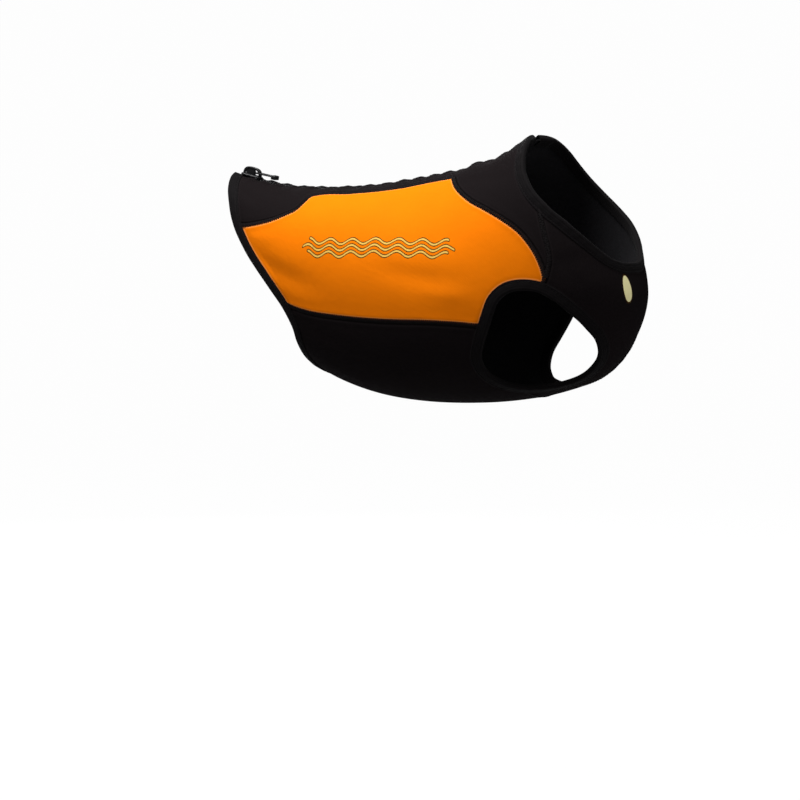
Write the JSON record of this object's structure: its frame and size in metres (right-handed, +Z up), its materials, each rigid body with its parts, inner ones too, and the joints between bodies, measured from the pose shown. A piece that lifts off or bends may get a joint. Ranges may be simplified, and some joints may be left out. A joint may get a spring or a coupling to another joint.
{
  "type": "dog wetsuit",
  "caption": "Sleeveless dog wetsuit in worn form: neoprene panels with bound edges, two foreleg holes, a back zip and a hinged pull tab.",
  "frame": {"origin": "on the inner face of the back's centre line, halfway between the hem and the nape, where the suit hangs on its wearer's back", "axes": "+X towards the head, +Y towards the wearer's left, +Z up"},
  "size_m": [0.4578, 0.1906, 0.2651],
  "materials": {
    "black_neoprene": "matt nylon jersey on neoprene foam",
    "orange_neoprene": "matt nylon jersey on neoprene foam",
    "edge_binding": "folded stretch tape",
    "zip_tape": "woven polyester",
    "moulded_plastic": "moulded acetal",
    "coated_zinc": "black coated zinc casting"
  },
  "bodies": {
    "suit": {"back_yoke_right": "black_neoprene", "back_yoke_left": "black_neoprene", "side_panel_right": "orange_neoprene", "side_panel_left": "orange_neoprene", "belly_panel": "black_neoprene", "chest_panel": "black_neoprene", "hem_binding": "edge_binding", "neck_binding": "edge_binding", "armhole_binding_right": "edge_binding", "armhole_binding_left": "edge_binding", "zip_tape_right": "zip_tape", "zip_tape_left": "zip_tape", "zip_chain": "moulded_plastic", "zip_slider": "coated_zinc", "zip_stop_right": "moulded_plastic", "zip_stop_left": "moulded_plastic", "zip_box": "moulded_plastic"},
    "pull_tab": {"zip_pull": "coated_zinc"}
  },
  "joints": [
    {"name": "pull_flip", "type": "hinge", "parent": "suit", "child": "pull_tab", "pos_m": [-0.16685, 0, 0.00994], "axis": [0, -1, 0], "range_deg": [0, 150]}
  ]
}
